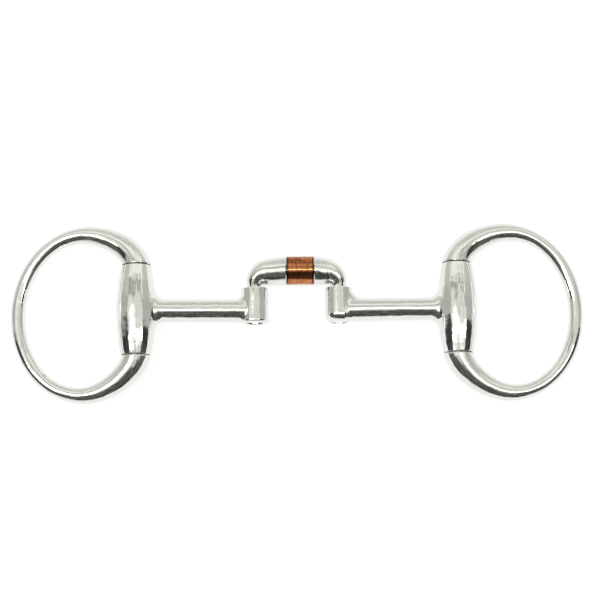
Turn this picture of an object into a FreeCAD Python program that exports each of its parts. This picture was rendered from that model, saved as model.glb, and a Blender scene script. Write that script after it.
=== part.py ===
"""Eggbutt snaffle bit with a small stepped port and a copper roller.

The bit lies flat on its back: X runs along the mouth, Y points up the port, Z is up.
The origin is on the table, under the middle of the mouth and level with the middle of
the cheek rings. Every piece is drawn as the left one, in a frame of its own, and the
right one is the same piece turned half a turn about Y.
"""

import FreeCAD, Part
import math
import os
import re

import Sketcher
from FreeCAD import Placement, Rotation, Vector

LEFT = -1
RIGHT = 1
SIDE_NAMES = {LEFT: "left", RIGHT: "right"}

DRIVING_SIZES = [
    ("mouth_width", 126.0, "between the ends of the two barrels, a 5 inch mouth"),
    ("port_width", 24.4, "clear width between the two knuckles"),
    ("port_height", 16.7, "from the knuckles' underside to the underside of the bridge"),
    ("barrel_half_length", 19.55, "from the stem's axis to a barrel end"),
    ("barrel_mid_radius", 8.6, "barrel at its fullest"),
    ("barrel_end_radius", 6.4, "barrel, and ring shoulder, at the seam between them"),
    ("barrel_edge_round", 0.35, "rounding of the barrel's end edges"),
    ("stem_radius", 4.85, "straight stem where it leaves the barrel"),
    ("stem_root_radius", 5.05, "straight stem where it meets the knuckle"),
    ("stem_barrel_fillet", 4.5, "blend of stem into barrel"),
    ("left_knuckle_fillet", 2.4, "blend of stem into the left knuckle"),
    ("right_knuckle_fillet", 4.5, "blend of stem into the right knuckle, which is softer"),
    ("knuckle_radius", 6.0, "upright knuckle that the bridge's leg turns in"),
    ("knuckle_above", 9.55, "knuckle's top face above the stem's axis"),
    ("knuckle_below", 5.55, "knuckle's underside below the stem's axis"),
    ("knuckle_top_round", 0.5, "rounding of the knuckle's top edge"),
    ("left_corner_round", 0.9, "rounding under the left knuckle"),
    ("right_corner_round", 3.5, "rounding under the right knuckle, polished away more"),
    ("ring_wire_radius", 3.05, "cheek ring on its thin outer half"),
    ("ring_reach", 23.2, "hinge axis to the ring's tallest place, centre line"),
    ("ring_outer_width", 28.85, "from there to the far rim, centre line"),
    ("ring_half_height", 35.15, "half of the ring's height, centre line"),
    ("ring_drop", 1.35, "ring's middle below the stem's axis"),
    ("shoulder_lean", 20.0, "how far the shoulder leans out from the hinge axis, degrees"),
    ("shoulder_rise", 9.0, "how far it keeps that lean before it turns"),
    ("shoulder_sweep", 9.0, "how far the ring's top runs on towards the barrel"),
    ("swell_length", 40.0, "length over which the shoulder thins down to the wire"),
    ("swell_power", 1.4, "how hollow that taper is"),
    ("seam_gap", 0.3, "between a barrel end and the ring's shoulder"),
    ("collar_height", 0.8, "straight collar at the end of each shoulder"),
    ("hinge_pin_radius", 2.5, "pin that the ring turns on"),
    ("hinge_pin_hold", 4.5, "how deep the pin sits in each shoulder"),
    ("pin_chamfer", 0.4, "chamfer on the ends of the pins"),
    ("bridge_radius", 6.3, "bridge beside the roller"),
    ("elbow_radius", 5.68, "bridge where it starts to turn down"),
    ("elbow_inner_round", 0.8, "inside rounding of that turn"),
    ("elbow_power", 1.2, "how the elbow thins down to the leg"),
    ("leg_neck_radius", 3.2, "leg between bridge and knuckle"),
    ("leg_journal_radius", 3.0, "leg inside the knuckle"),
    ("leg_head_radius", 3.6, "peened end of the leg under the knuckle"),
    ("leg_head_depth", 0.8, "height of that peened cone"),
    ("leg_head_recess", 0.35, "leg's end short of the knuckle's underside"),
    ("roller_length", 12.0, "copper roller"),
    ("roller_radius", 6.15, "copper roller, outside"),
    ("roller_edge", 0.3, "chamfer of the roller's edges"),
    ("roller_gap", 0.25, "roller end to bridge end"),
    ("roller_offset", 1.6, "roller's middle to the right of the mouth's middle"),
    ("spindle_radius", 2.5, "spindle that the roller turns on"),
    ("spindle_hold", 5.5, "how deep the spindle sits in each bridge half"),
    ("running_fit", 0.05, "radial clearance of what turns"),
    ("end_play", 0.15, "endways clearance of a leg in its knuckle"),
    ("press_fit", 0.01, "radial interference of what is pressed in"),
]

DERIVED_SIZES = [
    ("leg_offset", "port_width / 2 + knuckle_radius", "leg axis from the middle"),
    ("link_length", "mouth_width / 2 + barrel_end_radius - leg_offset", "hinge to leg axis"),
    ("seam_level", "barrel_half_length + seam_gap", "where the ring's shoulder begins"),
    ("collar_level", "seam_level + collar_height", "where the shoulder starts to bend"),
    ("bridge_under", "port_height - knuckle_below", "bridge's underside above the stem"),
    ("bridge_level", "bridge_under + bridge_radius", "bridge's axis above the stem"),
    ("ring_far", "ring_reach + ring_outer_width", "hinge axis to the far rim"),
    ("roller_space", "roller_length / 2 + roller_gap", "roller's middle to a bridge end"),
    ("left_bridge_end", "roller_space - roller_offset", "left end face from the middle"),
    ("right_bridge_end", "roller_space + roller_offset", "right end face from the middle"),
    ("elbow_pivot", "leg_offset - leg_neck_radius - elbow_inner_round", "elbow's inside"),
    ("elbow_level", "bridge_under - elbow_inner_round", "where elbow turns into leg"),
]

SHOULDER_STATIONS = 9
RIM_STATIONS = 14
ROD_STATIONS = 5
ELBOW_STATIONS = 7
ROD_POWER = 1.5
CUT_OVERRUN = 2.0
FLAT = 0.01

doc = FreeCAD.newDocument("snaffle_bit")
sheet = doc.addObject("Spreadsheet::Sheet", "sizes")


def fill_sheet():
    """Write every size into the sheet under its own name."""
    rows = [(name, str(value), note) for name, value, note in DRIVING_SIZES]
    rows += [(name, "=" + formula, note) for name, formula, note in DERIVED_SIZES]
    for row, (name, content, note) in enumerate(rows, start=1):
        sheet.set(f"A{row}", name)
        sheet.set(f"B{row}", content)
        sheet.setAlias(f"B{row}", name)
        sheet.set(f"C{row}", note)
    doc.recompute()


def number(expression):
    """The value of an expression written in the sheet's names."""
    return float(sheet.evalExpression(expression))


def bound(expression):
    """The same expression as another object has to write it."""
    names = {name for name, _, _ in DRIVING_SIZES + DERIVED_SIZES}
    return re.sub(
        r"[a-z_]+", lambda word: "sizes." + word[0] if word[0] in names else word[0], expression
    )


def new_body(label):
    body = doc.addObject("PartDesign::Body", label)
    body.Label = label
    return body


def origin_plane(body, role):
    return next(item for item in body.Origin.OriginFeatures if item.Role == role)


def new_sketch(body, name):
    """Sketch on the body's own XY plane, which every piece is symmetric about."""
    sketch = body.newObject("Sketcher::SketchObject", name)
    sketch.AttachmentSupport = [(origin_plane(body, "XY_Plane"), "")]
    sketch.MapMode = "FlatFace"
    return sketch


def tie(sketch, kind, places, expression):
    """Add one dimension and bind it to the sheet."""
    index = sketch.addConstraint(Sketcher.Constraint(kind, *places, number(expression)))
    sketch.setExpression(f"Constraints[{index}]", bound(expression))


def tie_corner(sketch, edge, x, y):
    """Hold the start of an edge at x, y, each an expression; '0' puts it on the axis."""
    for kind, axis, expression in (("DistanceX", -2, x), ("DistanceY", -1, y)):
        if expression == "0":
            sketch.addConstraint(Sketcher.Constraint("PointOnObject", edge, 1, axis))
        elif number(expression) > 0:
            tie(sketch, kind, (-1, 1, edge, 1), expression)
        else:
            tie(sketch, kind, (edge, 1, -1, 1), f"-({expression})")


def bulged(start, end, radius):
    """Arc from start to end, anticlockwise, so that it bulges to the right of the chord."""
    chord = end - start
    rise = radius - math.sqrt(radius**2 - chord.Length**2 / 4)
    outwards = Vector(chord.y, -chord.x) / chord.Length
    return Part.Arc(start, (start + end) / 2 + outwards * rise, end)


def outline(sketch, corners, arcs=None):
    """Closed outline through the corners, given anticlockwise as pairs of expressions.

    arcs gives the radius of each bulged edge, under the number of its first corner.
    """
    arcs = arcs or {}
    count = len(corners)
    points = [Vector(number(x), number(y)) for x, y in corners]
    for i, start in enumerate(points):
        end = points[(i + 1) % count]
        if i in arcs:
            sketch.addGeometry(bulged(start, end, number(arcs[i])))
        else:
            sketch.addGeometry(Part.LineSegment(start, end))
    for i in range(count):
        sketch.addConstraint(Sketcher.Constraint("Coincident", i, 2, (i + 1) % count, 1))
    for i, (x, y) in enumerate(corners):
        tie_corner(sketch, i, x, y)
    for i, radius in arcs.items():
        tie(sketch, "Radius", (i,), radius)


def upright_axis(sketch, x):
    """Construction line parallel to Y at x, for pieces that turn about a leg."""
    place = number(x)
    line = sketch.addGeometry(Part.LineSegment(Vector(place, 0), Vector(place, 1)), True)
    sketch.addConstraint(Sketcher.Constraint("PointOnObject", line, 1, -1))
    sketch.addConstraint(Sketcher.Constraint("Vertical", line))
    sketch.addConstraint(Sketcher.Constraint("DistanceY", line, 1, line, 2, 1.0))
    if place > 0:
        tie(sketch, "DistanceX", (-1, 1, line, 1), x)
    else:
        tie(sketch, "DistanceX", (line, 1, -1, 1), f"-({x})")


def spun(body, name, corners, arcs=None, axis="V_Axis", about=None):
    """Turned feature: an outline swung right round an axis of its sketch."""
    sketch = new_sketch(body, name + "_outline")
    outline(sketch, corners, arcs)
    if about:
        upright_axis(sketch, about)
        axis = "Axis0"
    feature = body.newObject("PartDesign::Revolution", name)
    feature.Profile = sketch
    feature.ReferenceAxis = (sketch, [axis])
    feature.Angle = 360
    doc.recompute()
    return feature


def bored(body, name, corners, axis="V_Axis", about=None):
    """Turned cut, which has to take material away."""
    before = body.Shape.Volume
    sketch = new_sketch(body, name + "_outline")
    outline(sketch, corners)
    if about:
        upright_axis(sketch, about)
        axis = "Axis0"
    feature = body.newObject("PartDesign::Groove", name)
    feature.Profile = sketch
    feature.ReferenceAxis = (sketch, [axis])
    feature.Angle = 360
    doc.recompute()
    if feature.Shape.Volume >= before:
        raise RuntimeError(f"{body.Label}: {name} cuts nothing")
    return feature


def rounded(body, name, radius, wanted):
    """Fillet the edges for which wanted(edge) holds."""
    base = body.Tip
    edges = [f"Edge{i}" for i, edge in enumerate(base.Shape.Edges, start=1) if wanted(edge)]
    if not edges:
        raise RuntimeError(f"{body.Label}: no edge for {name}")
    feature = body.newObject("PartDesign::Fillet", name)
    feature.Base = (base, edges)
    feature.setExpression("Radius", bound(radius))
    doc.recompute()
    return feature


def is_circle_at(edge, level, centre_x=0.0):
    """True for a circle about an axis parallel to Y, at the given height on it."""
    curve = edge.Curve
    if not isinstance(curve, Part.Circle):
        return False
    off_axis = math.hypot(curve.Center.x - centre_x, curve.Center.z)
    return off_axis < 1e-6 and abs(curve.Center.y - level) < 1e-6


def round_solid(stations):
    """Solid whose skin runs smoothly through true circles, and whose ends are flat.

    Each circle is a rational curve of nine poles. A smooth curve is drawn through each
    pole from section to section, and those curves' own poles make the skin.
    """
    corner = math.sqrt(0.5)
    square = [(1, 0), (1, 1), (0, 1), (-1, 1), (-1, 0), (-1, -1), (0, -1), (1, -1), (1, 0)]
    run = [0.0]
    for (before, _, _), (centre, _, _) in zip(stations, stations[1:]):
        run.append(run[-1] + (centre - before).Length)
    rails = []
    for across, upward in square:
        rail = Part.BSplineCurve()
        points = [
            centre
            + Vector(math.cos(math.radians(turn)), math.sin(math.radians(turn))) * across * radius
            - Vector(0, 0, 1) * upward * radius
            for centre, turn, radius in stations
        ]
        rail.interpolate(Points=points, Parameters=run)
        rails.append(rail)
    poles = [rail.getPoles() for rail in rails]
    weights = [[corner if a and b else 1.0] * len(poles[0]) for a, b in square]
    skin = Part.BSplineSurface()
    skin.buildFromPolesMultsKnots(
        poles,
        [3, 2, 2, 2, 3],
        rails[0].getMultiplicities(),
        [0, 1, 2, 3, 4],
        rails[0].getKnots(),
        False,
        False,
        2,
        rails[0].Degree,
        weights,
    )
    side = skin.toShape()
    ends = [Part.Face(Part.Wire(edge)) for edge in side.Edges if edge.isClosed()]
    shell = Part.makeShell([side] + ends)
    shell.sewShape()
    return Part.makeSolid(shell)


def loose_solid(label, stations):
    """That solid as an object for a body to start from."""
    feature = doc.addObject("Part::Feature", label)
    feature.Shape = round_solid(stations)
    return feature


def cannon_outlines():
    """Outlines of the turned features of a cannon, whose origin is on the hinge axis."""
    bulge = "(barrel_mid_radius - barrel_end_radius)"
    barrel = [
        ("0", "-barrel_half_length"),
        ("barrel_end_radius", "-barrel_half_length"),
        ("barrel_end_radius", "barrel_half_length"),
        ("0", "barrel_half_length"),
    ]
    barrel_arc = {1: f"(barrel_half_length ^ 2 + {bulge} ^ 2) / (2 * {bulge})"}
    stem = [
        ("0", "0"),
        ("link_length", "0"),
        ("link_length", "stem_root_radius"),
        ("0", "stem_radius"),
    ]
    knuckle = [
        ("link_length", "-knuckle_below"),
        ("link_length + knuckle_radius", "-knuckle_below"),
        ("link_length + knuckle_radius", "knuckle_above"),
        ("link_length", "knuckle_above"),
    ]
    return barrel, barrel_arc, stem, knuckle


def on_stem(edge):
    """True for a curved edge that lies on the stem's cone all along."""
    if isinstance(edge.Curve, Part.Line):
        return False
    flare = number("(stem_root_radius - stem_radius) / link_length")
    for share in (0.1, 0.35, 0.6, 0.85):
        first, last = edge.ParameterRange
        point = edge.valueAt(first + share * (last - first))
        radius = number("stem_radius") + flare * point.x
        if abs(math.hypot(point.y, point.z) - radius) > 1e-4:
            return False
    return True


def make_cannon(side):
    """Barrel, straight stem and knuckle in one forging."""
    name = SIDE_NAMES[side]
    body = new_body(f"{name}_cannon")
    barrel, barrel_arc, stem, knuckle = cannon_outlines()
    length = number("link_length")
    top = number("knuckle_above")
    bottom = -number("knuckle_below")

    spun(body, f"{name}_knuckle", knuckle, about="link_length")
    rounded(
        body,
        f"{name}_knuckle_corner",
        f"{name}_corner_round",
        lambda edge: is_circle_at(edge, bottom, length),
    )
    rounded(
        body,
        f"{name}_knuckle_rim",
        "knuckle_top_round",
        lambda edge: is_circle_at(edge, top, length),
    )
    spun(body, f"{name}_stem", stem, axis="H_Axis")
    spun(body, f"{name}_barrel", barrel, barrel_arc)
    rounded(
        body,
        f"{name}_barrel_blend",
        "stem_barrel_fillet",
        lambda edge: on_stem(edge) and edge.CenterOfMass.x < length / 2,
    )
    rounded(
        body,
        f"{name}_knuckle_blend",
        f"{name}_knuckle_fillet",
        lambda edge: on_stem(edge) and length / 2 < edge.CenterOfMass.x,
    )
    end = number("barrel_half_length")
    rounded(
        body,
        f"{name}_barrel_edges",
        "barrel_edge_round",
        lambda edge: is_circle_at(edge, end) or is_circle_at(edge, -end),
    )
    hinge_bore = "hinge_pin_radius + running_fit"
    bored(
        body,
        f"{name}_hinge_bore",
        [
            ("0", f"-barrel_half_length - {CUT_OVERRUN}"),
            (hinge_bore, f"-barrel_half_length - {CUT_OVERRUN}"),
            (hinge_bore, f"barrel_half_length + {CUT_OVERRUN}"),
            ("0", f"barrel_half_length + {CUT_OVERRUN}"),
        ],
    )
    leg_bore = "link_length + leg_journal_radius + running_fit"
    seat = "link_length + leg_head_radius + running_fit"
    seat_low = "-knuckle_below + leg_head_recess + end_play"
    bored(
        body,
        f"{name}_leg_bore",
        [
            ("link_length", f"-knuckle_below - {CUT_OVERRUN}"),
            (seat, f"-knuckle_below - {CUT_OVERRUN}"),
            (seat, seat_low),
            (leg_bore, seat_low + " + leg_head_depth"),
            (leg_bore, f"knuckle_above + {CUT_OVERRUN}"),
            ("link_length", f"knuckle_above + {CUT_OVERRUN}"),
        ],
        about="link_length",
    )
    tilt = math.asin(number("(barrel_mid_radius - bridge_radius) / link_length"))
    body.Placement = hinge_place(side, -side * math.degrees(tilt))
    return body


def hinge_place(side, lean):
    """Placement on a hinge axis, with the barrel resting on the table."""
    drop = number("barrel_mid_radius - bridge_radius")
    span = math.sqrt(number("link_length") ** 2 - drop**2)
    centre = Vector(
        side * (number("leg_offset") + span),
        number("ring_drop"),
        number("barrel_mid_radius"),
    )
    return Placement(centre, Rotation(Vector(0, 1, 0), 90 + side * 90 + lean))


def heading(along):
    """How far a direction in the XY plane has turned from Y, in degrees."""
    return math.degrees(math.atan2(-along.x, along.y))


def shoulder_line(sign):
    """Stations along the upper (1) or lower (-1) shoulder, from the collar to the rim.

    The centre line is a cubic curve that leans away from the hinge axis at once. The
    sections start square to the hinge axis and ease round until they are square to the line.
    """
    reach = number("ring_reach")
    top = sign * number("ring_half_height") - number("ring_drop")
    lean = number("shoulder_lean")
    rise = number("shoulder_rise")
    start = Vector(0, sign * number("collar_level"))
    away = Vector(-math.sin(math.radians(lean)), sign * math.cos(math.radians(lean)))
    ends = [start, start + away * rise, Vector(number("shoulder_sweep") - reach, top)]
    ends.append(Vector(-reach, top))
    stations = []
    for i in range(SHOULDER_STATIONS):
        t = i / SHOULDER_STATIONS
        u = 1 - t
        weights = (u**3, 3 * u * u * t, 3 * u * t * t, t**3)
        slopes = (-3 * u * u, 3 * u * u - 6 * u * t, 6 * u * t - 3 * t * t, 3 * t * t)
        point = sum((end * weight for end, weight in zip(ends, weights)), Vector())
        along = sum((end * slope for end, slope in zip(ends, slopes)), Vector())
        stations.append((point, heading(along * sign) - sign * lean * u * u))
    return stations


def ring_line():
    """Stations along the ring, from the upper seam round the outer half to the lower seam.

    Each is a point of the centre line and how far the section there has turned about Z.
    """
    reach = number("ring_reach")
    wide = number("ring_outer_width")
    tall = number("ring_half_height")
    rim = []
    for i in range(RIM_STATIONS + 1):
        angle = math.pi * i / RIM_STATIONS
        height = tall * math.cos(angle) - number("ring_drop")
        along = Vector(-wide * math.cos(angle), -tall * math.sin(angle))
        rim.append((Vector(-reach - wide * math.sin(angle), height), heading(along)))
    return shoulder_line(1) + rim + shoulder_line(-1)[::-1]


def swell(points):
    """How much of the shoulder's extra thickness each station keeps, from 1 to 0."""
    run = [0.0]
    for previous, point in zip(points, points[1:]):
        run.append(run[-1] + (point - previous).Length)
    keep = []
    for distance in run:
        share = min(distance, run[-1] - distance) / number("swell_length")
        keep.append(max(0.0, 1 - share) ** number("swell_power"))
    return keep


def upright_bar(label, radius, low, height):
    """Plain cylinder on the hinge axis."""
    bar = doc.addObject("Part::Cylinder", label)
    bar.setExpression("Radius", bound(radius))
    bar.setExpression("Height", bound(height))
    bar.Placement = Placement(Vector(0, number(low), 0), Rotation(Vector(1, 0, 0), -90))
    return bar


def collar(label, low, seam):
    """End of a shoulder, with its edge at the seam rounded."""
    bar = upright_bar(label + "_bar", "barrel_end_radius", low, "collar_height")
    doc.recompute()
    edge_round = number("barrel_edge_round")
    eased = doc.addObject("Part::Fillet", label)
    eased.Base = bar
    eased.Edges = [
        (i, edge_round, edge_round)
        for i, edge in enumerate(bar.Shape.Edges, start=1)
        if is_circle_at(edge, seam)
    ]
    return eased


def make_ring(side):
    """Cheek ring: thin outer half, shoulders that swell to the barrel's end size.

    Each shoulder ends in a short collar with a rounded edge, bored for the hinge pin.
    """
    name = SIDE_NAMES[side]
    line = ring_line()
    wire = number("ring_wire_radius")
    extra = number("barrel_end_radius - ring_wire_radius")
    stations = [
        (point, turn, wire + share * extra)
        for (point, turn), share in zip(line, swell([point for point, _ in line]))
    ]

    whole = doc.addObject("Part::MultiFuse", f"{name}_ring_whole")
    whole.Shapes = [
        loose_solid(f"{name}_ring_wire", stations),
        collar(f"{name}_upper_collar", "seam_level", number("seam_level")),
        collar(f"{name}_lower_collar", "-collar_level", -number("seam_level")),
    ]
    ring = doc.addObject("Part::Cut", f"{name}_cheek_ring")
    ring.Base = whole
    ring.Tool = upright_bar(
        f"{name}_pin_sockets",
        "hinge_pin_radius - press_fit",
        "-seam_level - hinge_pin_hold",
        "2 * (seam_level + hinge_pin_hold)",
    )
    doc.recompute()
    if ring.Shape.Volume >= whole.Shape.Volume:
        raise RuntimeError(f"{ring.Label}: the sockets cut nothing")
    droop = math.asin(number("(barrel_mid_radius - ring_wire_radius) / ring_far"))
    ring.Placement = hinge_place(side, side * math.degrees(droop))
    return ring


def chamfered_bar(half, radius, chamfer):
    """Outline of a bar about Y with chamfered ends."""
    return [
        ("0", f"-({half})"),
        (f"{radius} - {chamfer}", f"-({half})"),
        (radius, f"-({half}) + {chamfer}"),
        (radius, f"{half} - {chamfer}"),
        (f"{radius} - {chamfer}", half),
        ("0", half),
    ]


def make_hinge_pin(side):
    """Pin that passes through the barrel and is held by the ring's two shoulders."""
    body = new_body(f"{SIDE_NAMES[side]}_hinge_pin")
    bar = chamfered_bar("seam_level + hinge_pin_hold", "hinge_pin_radius", "pin_chamfer")
    spun(body, f"{SIDE_NAMES[side]}_pin_bar", bar)
    body.Placement = hinge_place(side, 0)
    return body


def bridge_stations(name):
    """Round sections of a bridge half, from the roller out and down to the leg.

    The underside is straight and the top falls away towards the elbow. The elbow turns
    about a pivot just inside its inner corner and thins down to the leg. Each section is
    its centre, how far its plane has turned about Z, and its radius.
    """
    start = number(f"{name}_bridge_end")
    pivot = number("elbow_pivot")
    inner = number("elbow_inner_round")
    full = number("bridge_radius")
    bend = number("elbow_radius")
    neck = number("leg_neck_radius")
    stations = []
    for i in range(ROD_STATIONS):
        share = i / ROD_STATIONS
        radius = full - share**ROD_POWER * (full - bend)
        centre = Vector(-start - share * (pivot - start), number("bridge_under") + radius)
        stations.append((centre, 90, radius))
    for i in range(ELBOW_STATIONS + 1):
        share = i / ELBOW_STATIONS
        radius = neck + (1 - share) ** number("elbow_power") * (bend - neck)
        turn = math.radians(90 * share)
        arm = Vector(-math.sin(turn), math.cos(turn)) * (inner + radius)
        stations.append((Vector(-pivot, number("elbow_level")) + arm, 90 + 90 * share, radius))
    return stations


def make_bridge_half(side):
    """Half of the bridge with its leg, which is peened over under the knuckle."""
    name = SIDE_NAMES[side]
    body = new_body(f"{name}_bridge_half")
    body.BaseFeature = loose_solid(f"{name}_bridge_rod", bridge_stations(name))
    neck = "-leg_offset + leg_neck_radius"
    journal = "-leg_offset + leg_journal_radius"
    head = "-leg_offset + leg_head_radius"
    shoulder = "knuckle_above + end_play"
    end = "-knuckle_below + leg_head_recess"
    spun(
        body,
        f"{name}_leg",
        [
            ("-leg_offset", end),
            (head, end),
            (journal, end + " + leg_head_depth"),
            (journal, shoulder),
            (neck, shoulder),
            (neck, "elbow_level"),
            ("-leg_offset", "elbow_level"),
        ],
        about="-leg_offset",
    )
    face = f"-{name}_bridge_end"
    rounded(
        body,
        f"{name}_bridge_edge",
        "barrel_edge_round",
        lambda edge: abs(edge.CenterOfMass.x - number(face)) < FLAT
        and edge.BoundBox.XLength < FLAT,
    )
    socket = "spindle_radius - press_fit"
    bored(
        body,
        f"{name}_spindle_socket",
        [
            (f"{face} - spindle_hold", "bridge_level"),
            (f"{face} + {CUT_OVERRUN}", "bridge_level"),
            (f"{face} + {CUT_OVERRUN}", f"bridge_level + {socket}"),
            (f"{face} - spindle_hold", f"bridge_level + {socket}"),
        ],
        axis="Edge1",
    )
    body.Placement = mouth_place("0", "0", 90 + side * 90)
    return body


def mouth_place(across, level, turn=0):
    """Placement so far right of the mouth's middle and so far above the stem's axis."""
    centre = Vector(number(across), number(f"ring_drop + {level}"), number("bridge_radius"))
    return Placement(centre, Rotation(Vector(0, 1, 0), turn))


def make_spindle():
    """Pin that joins the two bridge halves and carries the roller."""
    body = new_body("roller_spindle")
    bar = chamfered_bar("roller_space + spindle_hold", "spindle_radius", "pin_chamfer")
    spun(body, "spindle_bar", [(y, x) for x, y in reversed(bar)], axis="H_Axis")
    body.Placement = mouth_place("roller_offset", "bridge_level")
    return body


def make_roller():
    """Copper roller that turns freely on the spindle."""
    body = new_body("copper_roller")
    bore = "spindle_radius + running_fit"
    half = "roller_length / 2"
    spun(
        body,
        "roller_sleeve",
        [
            (f"-{half}", bore),
            (half, bore),
            (half, "roller_radius - roller_edge"),
            (f"{half} - roller_edge", "roller_radius"),
            (f"-{half} + roller_edge", "roller_radius"),
            (f"-{half}", "roller_radius - roller_edge"),
        ],
        axis="H_Axis",
    )
    body.Placement = mouth_place("roller_offset", "bridge_level")
    return body


def check_document(pieces):
    """Stop if any feature failed or any piece isn't one sound solid."""
    for item in doc.Objects:
        bad = {"Invalid", "Error"} & set(item.State)
        if bad:
            raise RuntimeError(f"{item.Label}: {sorted(bad)}")
    for piece in pieces:
        shape = piece.Shape
        if shape.isNull() or not shape.isValid() or len(shape.Solids) != 1:
            raise RuntimeError(f"{piece.Label} isn't one valid solid")


fill_sheet()
pieces = [make_spindle(), make_roller()]
for side in (LEFT, RIGHT):
    pieces += [make_cannon(side), make_ring(side), make_hinge_pin(side), make_bridge_half(side)]
doc.recompute()
check_document(pieces)
os.makedirs("parts", exist_ok=True)
for piece in pieces:
    piece.Shape.exportStep(f"parts/{piece.Label}.step")
    print(f"{piece.Label}: {piece.Shape.Volume:.1f} mm3")
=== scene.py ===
"""Eggbutt snaffle bit lying on a white table, seen almost from above."""

import math

import bpy
from mathutils import Matrix, Vector


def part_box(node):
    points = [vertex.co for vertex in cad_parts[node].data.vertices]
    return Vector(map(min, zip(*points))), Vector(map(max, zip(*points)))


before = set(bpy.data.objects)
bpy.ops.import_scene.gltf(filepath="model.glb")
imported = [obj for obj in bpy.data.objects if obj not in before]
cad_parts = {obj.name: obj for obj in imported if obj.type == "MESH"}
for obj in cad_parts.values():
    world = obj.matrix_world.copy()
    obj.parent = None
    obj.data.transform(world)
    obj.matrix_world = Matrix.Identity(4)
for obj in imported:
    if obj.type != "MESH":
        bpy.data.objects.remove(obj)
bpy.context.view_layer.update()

MM = 0.001

# The camera: its angle above the table, distance, lens, roll and range of sight, and its aim.
CAMERA_ELEVATION = 79.6
CAMERA_DISTANCE = 0.8
CAMERA_LENS = 111.1
CAMERA_ROLL = -0.45
CAMERA_NEAR = 0.01
CAMERA_FAR = 20
AIM = Vector((1.45, 5.5, 8.0)) * MM

# The table: its side, its own brightness, and how much of the room's light it adds to that.
TABLE_SIDE = 4
TABLE_GLOW = 0.85
TABLE_SHADE = 0.24

# The room, by the angle from straight up towards the back wall: brightness in that direction.
ROOM_BANDS = [
    (-90, 0.72),
    (-84, 0.60),
    (-79, 0.25),
    (-75, 0.03),
    (-68, 0.02),
    (-63, 0.05),
    (-52, 0.10),
    (-40, 0.07),
    (-30, 0.09),
    (-25, 0.30),
    (-20, 0.66),
    (-14, 0.92),
    (-7, 1.05),
    (-6, 9.00),
    (-2, 9.00),
    (-1, 1.05),
    (4, 1.00),
    (9, 0.84),
    (15, 0.80),
    (20, 0.42),
    (23, 0.42),
    (28, 0.92),
    (34, 1.06),
    (40, 0.95),
    (50, 0.80),
    (58, 0.70),
    (61, 0.50),
    (64, 0.70),
    (90, 0.76),
]
# The room's side walls, by how far the direction points to the back: brightness there.
SIDE_BANDS = [
    (-1.0, 0.04),
    (-0.35, 0.14),
    (-0.12, 0.04),
    (0.0, 0.07),
    (0.09, 0.55),
    (0.22, 0.50),
    (0.4, 0.64),
    (1.0, 0.74),
]
ROOM_TINT = (1.0, 1.0, 0.93)
# How far sideways a direction points where the side walls start and where they are alone.
SIDE_START = 0.60
SIDE_END = 0.74
# Shift of the side walls' bands to the back, which makes up for the middle of the noise.
SIDE_LIFT = 0.06
# Slow noise that bends the bands: its size, the share of its range that is used, and the bend.
WANDER_LENGTH = 0.35
WANDER_RANGE = (0.3, 0.7)
ROOM_WANDER = 9.0
SIDE_WANDER = 0.12
# Small lights all over the room: their size, the share of noise that makes them, brightness.
GLINT_LENGTH = 0.06
GLINT_RANGE = (0.57, 0.68)
GLINT_LIGHT = 0.34
# A dark gap between two ceiling panels: its place, waver, half width, soft edge and shade.
PANEL_GAP = 0.17
PANEL_GAP_WANDER = 0.10
PANEL_GAP_HALF = 0.01
PANEL_GAP_EDGE = 0.035
PANEL_GAP_SHADE = 0.55
# How far back a direction points where the gap starts to fade and where it has ended.
PANEL_GAP_FADE = (0.1, 0.2)

# Steel: wave lengths of its surface and their depths, smudges, and painted shade in the seams.
WAVE_LENGTH = 9 * MM
RIPPLE_LENGTH = 3.2 * MM
RIPPLE_SHARE = 0.2
BUFFING_LENGTH = 0.6 * MM
BUFFING_DEPTH = 0.0025 * MM
BUFFING_ROUGHNESS = 0.03
SMUDGE_LENGTH = 6 * MM
SMUDGE_RANGE = (0.35, 0.75)
SMUDGE_ROUGHNESS = 0.06
STEEL_ROUGHNESS = 0.035
CLEAN_STEEL = (0.82, 0.82, 0.80, 1)
SMUDGED_STEEL = (0.74, 0.75, 0.72, 1)
# Painted shade in the seams: how far the occlusion reaches, the share of it that darkens, its
# samples and the dark colour.
SEAM_REACH = 1.2 * MM
SEAM_RANGE = (0.25, 0.8)
SEAM_SAMPLES = 6
SEAM_PAINTED_SHADE = (0.10, 0.095, 0.08, 1)
CANNON_GRAIN = (0.15, 1, 1)
RING_GRAIN = (1, 0.2, 1)
BRIDGE_GRAIN = (0.2, 1, 1)
CANNON_WAVE = 0.4 * MM
RING_WAVE = 0.3 * MM
BRIDGE_WAVE = 0.45 * MM

# Turned pins: rings round them, and their roughness.
PIN_GRAIN = (1, 12, 1)
PIN_RING_LENGTH = 1.2 * MM
PIN_RING_DEPTH = 0.006 * MM
PIN_RING_RANGE = (0.3, 0.7)
PIN_ROUGHNESS = (0.2, 0.34)
PIN_STEEL = (0.6, 0.6, 0.58, 1)
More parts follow.
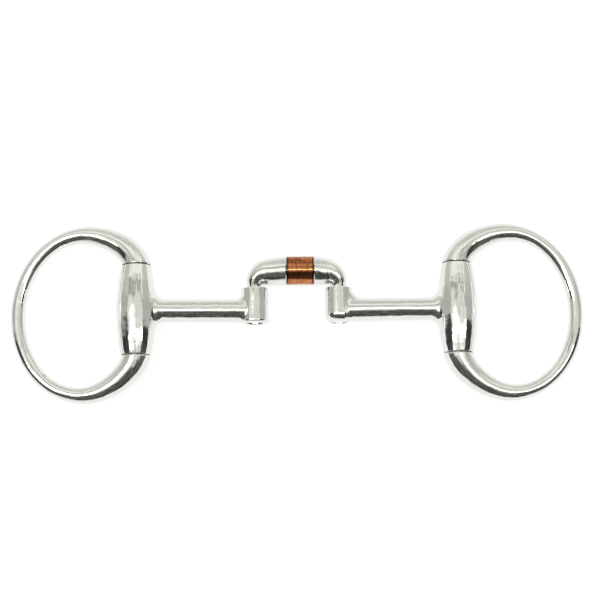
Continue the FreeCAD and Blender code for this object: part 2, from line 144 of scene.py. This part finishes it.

# Copper: colours from tarnished to rubbed bright, its marks, and its ends painted dark with the
# shade of the gaps beside them and with patina.
COPPER_COLOURS = [
    (0.0, (0.13, 0.045, 0.018)),
    (0.35, (0.30, 0.100, 0.038)),
    (0.6, (0.46, 0.165, 0.064)),
    (1.0, (0.62, 0.270, 0.130)),
]
PATCH_LENGTH = 3.0 * MM
DENT_LENGTH = 4.0 * MM
DENT_DEPTH = 0.04 * MM
STREAK_GRAIN = (3, 1, 1)
STREAK_LENGTH = 2.4 * MM
STREAK_SHARE = 0.6
TURNING_GRAIN = (20, 0.5, 0.5)
TURNING_LENGTH = 3.0 * MM
TURNING_DEPTH = 0.0015 * MM
TARNISH_COLOUR_RANGE = (0.52, 1.08)
TARNISH_GLOSS_RANGE = (0.5, 1.1)
COPPER_ROUGHNESS = (0.075, 0.03)
# Painted shade of the end gaps, with patina, at the roller's ends: waver of its edge, where it
# starts and is full, its strength and colour.
RIM_WAVER = 0.9 * MM
RIM_START = 0.6 * MM
RIM_END = 0.1 * MM
END_SHADE_SHARE = 0.85
ROLLER_END_SHADE_AND_PATINA = (0.06, 0.022, 0.012, 1)


def new_tree(name):
    """A material with an empty node tree."""
    material = bpy.data.materials.new(name)
    material.use_nodes = True
    material.node_tree.nodes.clear()
    return material, material.node_tree


def feed(tree, value, socket):
    """Link another node's output to a socket, or set a plain number or colour there."""
    if isinstance(value, bpy.types.NodeSocket):
        tree.links.new(value, socket)
    else:
        socket.default_value = value


def sum_node(tree, operation, first, second=None, third=None):
    """A Math node's result."""
    node = tree.nodes.new("ShaderNodeMath")
    node.operation = operation
    for socket, value in zip(node.inputs, (first, second, third)):
        if value is not None:
            feed(tree, value, socket)
    return node.outputs[0]


def spread(tree, value, low, high, to_low=0.0, to_high=1.0, smooth=False):
    """A value mapped from one range to another and held at its ends."""
    node = tree.nodes.new("ShaderNodeMapRange")
    node.interpolation_type = "SMOOTHSTEP" if smooth else "LINEAR"
    for socket, item in zip(node.inputs, (value, low, high, to_low, to_high)):
        feed(tree, item, socket)
    return node.outputs[0]


def ramp(tree, value, stops):
    """A colour ramp with stops of position and colour or grey level."""
    node = tree.nodes.new("ShaderNodeValToRGB")
    elements = node.color_ramp.elements
    elements.remove(elements[1])
    for i, (position, colour) in enumerate(stops):
        element = elements[0] if i == 0 else elements.new(position)
        element.position = position
        level = colour if isinstance(colour, tuple) else (colour,) * 3
        element.color = (*level, 1)
    feed(tree, value, node.inputs[0])
    return node.outputs[0]


def blend(tree, share, first, second, mode="MIX"):
    """Two colours mixed."""
    node = tree.nodes.new("ShaderNodeMix")
    node.data_type = "RGBA"
    node.blend_type = mode
    feed(tree, share, node.inputs[0])
    feed(tree, first, node.inputs[6])
    feed(tree, second, node.inputs[7])
    return node.outputs[2]


def object_place(tree, scale=(1, 1, 1)):
    """The surface point in the object's own coordinates, stretched by a scale."""
    place = tree.nodes.new("ShaderNodeTexCoord")
    mapping = tree.nodes.new("ShaderNodeMapping")
    mapping.inputs["Scale"].default_value = scale
    tree.links.new(place.outputs["Object"], mapping.inputs["Vector"])
    return mapping.outputs[0]


def noise(tree, place, wavelength, detail=2.0, roughness=0.5):
    """Noise from 0 to 1 with a main wavelength in metres."""
    node = tree.nodes.new("ShaderNodeTexNoise")
    node.inputs["Scale"].default_value = 1 / wavelength
    node.inputs["Detail"].default_value = detail
    node.inputs["Roughness"].default_value = roughness
    tree.links.new(place, node.inputs["Vector"])
    return node.outputs["Fac"]


def bump(tree, height, depth, below=None):
    """A bump of a height from 0 to 1 that stands for a depth in metres."""
    node = tree.nodes.new("ShaderNodeBump")
    node.inputs["Distance"].default_value = depth
    feed(tree, height, node.inputs["Height"])
    if below is not None:
        tree.links.new(below, node.inputs["Normal"])
    return node.outputs[0]


def metal(tree, colour, roughness, normal):
    """A metal surface linked to the material's output."""
    shader = tree.nodes.new("ShaderNodeBsdfPrincipled")
    shader.inputs["Metallic"].default_value = 1
    feed(tree, colour, shader.inputs["Base Color"])
    feed(tree, roughness, shader.inputs["Roughness"])
    feed(tree, normal, shader.inputs["Normal"])
    output = tree.nodes.new("ShaderNodeOutputMaterial")
    tree.links.new(shader.outputs[0], output.inputs[0])


def crevice(tree, reach):
    """How open the surface is, from 0 deep in a seam to 1."""
    node = tree.nodes.new("ShaderNodeAmbientOcclusion")
    node.samples = SEAM_SAMPLES
    node.inputs["Distance"].default_value = reach
    return node.outputs["AO"]


def make_steel(name, grain, wave):
    """Hand-polished stainless steel: slow waves, buffing marks along the grain and shade painted
    dark into the seams.
    """
    material, tree = new_tree(name)
    place = object_place(tree)
    along = object_place(tree, grain)
    waves = noise(tree, place, WAVE_LENGTH, 1.0)
    ripples = noise(tree, place, RIPPLE_LENGTH, 1.5)
    marks = noise(tree, along, BUFFING_LENGTH, 3.0, 0.65)
    smudges = noise(tree, place, SMUDGE_LENGTH, 4.0, 0.6)
    normal = bump(tree, waves, wave)
    normal = bump(tree, ripples, wave * RIPPLE_SHARE, normal)
    normal = bump(tree, marks, BUFFING_DEPTH, normal)
    roughest = STEEL_ROUGHNESS + SMUDGE_ROUGHNESS
    rough = spread(tree, smudges, *SMUDGE_RANGE, STEEL_ROUGHNESS, roughest)
    rough = sum_node(tree, "MULTIPLY_ADD", marks, BUFFING_ROUGHNESS, rough)
    # Painted shade: where ambient occlusion finds the surface closed in between parts, the colour
    # goes to near black.
    open_share = spread(tree, crevice(tree, SEAM_REACH), *SEAM_RANGE, smooth=True)
    clean = blend(tree, smudges, CLEAN_STEEL, SMUDGED_STEEL)
    colour = blend(tree, open_share, SEAM_PAINTED_SHADE, clean)
    metal(tree, colour, rough, normal)
    return material


def make_pin_steel():
    """Turned steel with fine rings round the hinge pins."""
    material, tree = new_tree("turned_pin_steel")
    rings = noise(tree, object_place(tree, PIN_GRAIN), PIN_RING_LENGTH, 3.0)
    rough = spread(tree, rings, *PIN_RING_RANGE, *PIN_ROUGHNESS)
    metal(tree, PIN_STEEL, rough, bump(tree, rings, PIN_RING_DEPTH))
    return material


def end_shade_mask(tree, place, waver):
    """From 0 along the roller to 1 at its two ends, with a wavering edge: where the shade of the
    end gaps is painted, together with patina.
    """
    low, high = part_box("copper_roller")
    middle = (low.x + high.x) / 2
    half = (high.x - low.x) / 2
    split = tree.nodes.new("ShaderNodeSeparateXYZ")
    tree.links.new(place, split.inputs[0])
    off_middle = sum_node(tree, "ABSOLUTE", sum_node(tree, "SUBTRACT", split.outputs[0], middle))
    wavy = sum_node(tree, "MULTIPLY_ADD", waver, RIM_WAVER, off_middle)
    return spread(tree, wavy, half - RIM_START, half - RIM_END, smooth=True)


def make_copper():
    """Worn copper: brown tarnish, rubbed bright patches, dents, turning marks, and ends painted
    dark with the gaps' shade and patina.
    """
    material, tree = new_tree("worn_copper")
    place = object_place(tree)
    patches = noise(tree, place, PATCH_LENGTH, 4.0, 0.62)
    dents = noise(tree, place, DENT_LENGTH, 1.0)
    streaks = noise(tree, object_place(tree, STREAK_GRAIN), STREAK_LENGTH, 3.0, 0.6)
    turning = noise(tree, object_place(tree, TURNING_GRAIN), TURNING_LENGTH, 2.0)
    tarnish = sum_node(tree, "ADD", patches, sum_node(tree, "MULTIPLY", streaks, STREAK_SHARE))
    colour = ramp(tree, spread(tree, tarnish, *TARNISH_COLOUR_RANGE), COPPER_COLOURS)
    # Painted shade: the roller's ends go dark brown for the shade in the gaps beside the
    # shoulders, together with patina.
    rim = sum_node(tree, "MULTIPLY", end_shade_mask(tree, place, patches), END_SHADE_SHARE)
    colour = blend(tree, rim, colour, ROLLER_END_SHADE_AND_PATINA)
    rough = spread(tree, tarnish, *TARNISH_GLOSS_RANGE, *COPPER_ROUGHNESS)
    normal = bump(tree, dents, DENT_DEPTH)
    normal = bump(tree, turning, TURNING_DEPTH, normal)
    metal(tree, colour, rough, normal)
    return material


def make_camera():
    """Camera over the middle of the bit, leaning a little towards its lower side."""
    lean = math.radians(90 - CAMERA_ELEVATION)
    camera = bpy.data.objects.new("camera", bpy.data.cameras.new("camera"))
    bpy.context.scene.collection.objects.link(camera)
    away = Vector((0, -math.sin(lean), math.cos(lean)))
    turn = Matrix.Rotation(lean, 4, "X") @ Matrix.Rotation(math.radians(CAMERA_ROLL), 4, "Z")
    camera.matrix_world = Matrix.Translation(AIM + away * CAMERA_DISTANCE) @ turn
    camera.data.lens = CAMERA_LENS
    camera.data.clip_start = CAMERA_NEAR
    camera.data.clip_end = CAMERA_FAR
    bpy.context.scene.camera = camera


def make_table():
    """White table top, which keeps a faint shadow of the bit."""
    bpy.ops.mesh.primitive_plane_add(size=TABLE_SIDE)
    table = bpy.context.object
    table.name = "table"
    material, tree = new_tree("table_white")
    shade = tree.nodes.new("ShaderNodeBsdfDiffuse")
    shade.inputs["Color"].default_value = (TABLE_SHADE, TABLE_SHADE, TABLE_SHADE, 1)
    glow = tree.nodes.new("ShaderNodeEmission")
    path = tree.nodes.new("ShaderNodeLightPath")
    seen = sum_node(tree, "MAXIMUM", path.outputs["Is Camera Ray"], path.outputs["Is Glossy Ray"])
    tree.links.new(sum_node(tree, "MULTIPLY", seen, TABLE_GLOW), glow.inputs["Strength"])
    both = tree.nodes.new("ShaderNodeAddShader")
    output = tree.nodes.new("ShaderNodeOutputMaterial")
    tree.links.new(shade.outputs[0], both.inputs[0])
    tree.links.new(glow.outputs[0], both.inputs[1])
    tree.links.new(both.outputs[0], output.inputs[0])
    table.data.materials.append(material)


def wall_bands(tree, share, low, high, bands):
    """Brightness at a share of the way from low to high, from bands of place and level."""
    stops = [((at - low) / (high - low), level) for at, level in bands]
    return ramp(tree, share, stops)


def panel_gap(tree, x, y, wander):
    """Share of dark in the gap between two ceiling panels, which fades out to the back."""
    aside = sum_node(tree, "MULTIPLY_ADD", wander, PANEL_GAP_WANDER, x)
    off_gap = sum_node(tree, "ABSOLUTE", sum_node(tree, "SUBTRACT", aside, PANEL_GAP))
    edges = (PANEL_GAP_HALF, PANEL_GAP_EDGE)
    across = spread(tree, off_gap, *edges, PANEL_GAP_SHADE, 0.0, smooth=True)
    along = spread(tree, y, *PANEL_GAP_FADE, 1.0, 0.0, smooth=True)
    return sum_node(tree, "MULTIPLY", across, along)


def make_room():
    """Soft studio: pale wall behind, bright ceiling, dark room in front and at the sides."""
    world = bpy.data.worlds.new("studio")
    bpy.context.scene.world = world
    world.use_nodes = True
    tree = world.node_tree
    tree.nodes.clear()
    place = tree.nodes.new("ShaderNodeTexCoord").outputs["Generated"]
    split = tree.nodes.new("ShaderNodeSeparateXYZ")
    tree.links.new(place, split.inputs[0])
    x, y, z = split.outputs
    wander = noise(tree, place, WANDER_LENGTH, 2.0)
    shift = spread(tree, wander, *WANDER_RANGE, -ROOM_WANDER, ROOM_WANDER)
    angle = sum_node(tree, "DEGREES", sum_node(tree, "ARCTAN2", y, z))
    position = spread(tree, sum_node(tree, "ADD", angle, shift), -90, 90)
    bands = wall_bands(tree, position, -90, 90, ROOM_BANDS)
    glints = noise(tree, place, GLINT_LENGTH, 2.0)
    glints = spread(tree, glints, *GLINT_RANGE, 0.0, GLINT_LIGHT, smooth=True)
    bands = blend(tree, 1.0, bands, glints, "ADD")
    bands = blend(tree, panel_gap(tree, x, y, wander), bands, (0, 0, 0, 1))
    leaning = sum_node(tree, "MULTIPLY_ADD", wander, SIDE_WANDER, y)
    back = spread(tree, leaning, SIDE_LIFT - 1, SIDE_LIFT + 1)
    sides = wall_bands(tree, back, -1, 1, SIDE_BANDS)
    side_share = spread(tree, sum_node(tree, "ABSOLUTE", x), SIDE_START, SIDE_END, smooth=True)
    room = blend(tree, side_share, bands, sides)
    room = blend(tree, 1.0, room, (*ROOM_TINT, 1), "MULTIPLY")
    path = tree.nodes.new("ShaderNodeLightPath")
    seen = blend(tree, path.outputs["Is Camera Ray"], room, (1, 1, 1, 1))
    background = tree.nodes.new("ShaderNodeBackground")
    output = tree.nodes.new("ShaderNodeOutputWorld")
    tree.links.new(seen, background.inputs[0])
    tree.links.new(background.outputs[0], output.inputs[0])


def finish_nodes():
    """Give every CAD node its material."""
    straight = make_steel("cannon_steel", CANNON_GRAIN, CANNON_WAVE)
    ring = make_steel("ring_steel", RING_GRAIN, RING_WAVE)
    arch = make_steel("bridge_steel", BRIDGE_GRAIN, BRIDGE_WAVE)
    pin = make_pin_steel()
    materials = {
        "copper_roller": make_copper(),
        "left_cannon": straight,
        "right_cannon": straight,
        "left_cheek_ring": ring,
        "right_cheek_ring": ring,
        "left_bridge_half": arch,
        "right_bridge_half": arch,
        "left_hinge_pin": pin,
        "right_hinge_pin": pin,
        "roller_spindle": pin,
    }
    for name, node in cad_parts.items():
        node.data.materials.clear()
        node.data.materials.append(materials[name])


make_camera()
make_room()
make_table()
finish_nodes()
bpy.context.scene.view_settings.view_transform = "Standard"
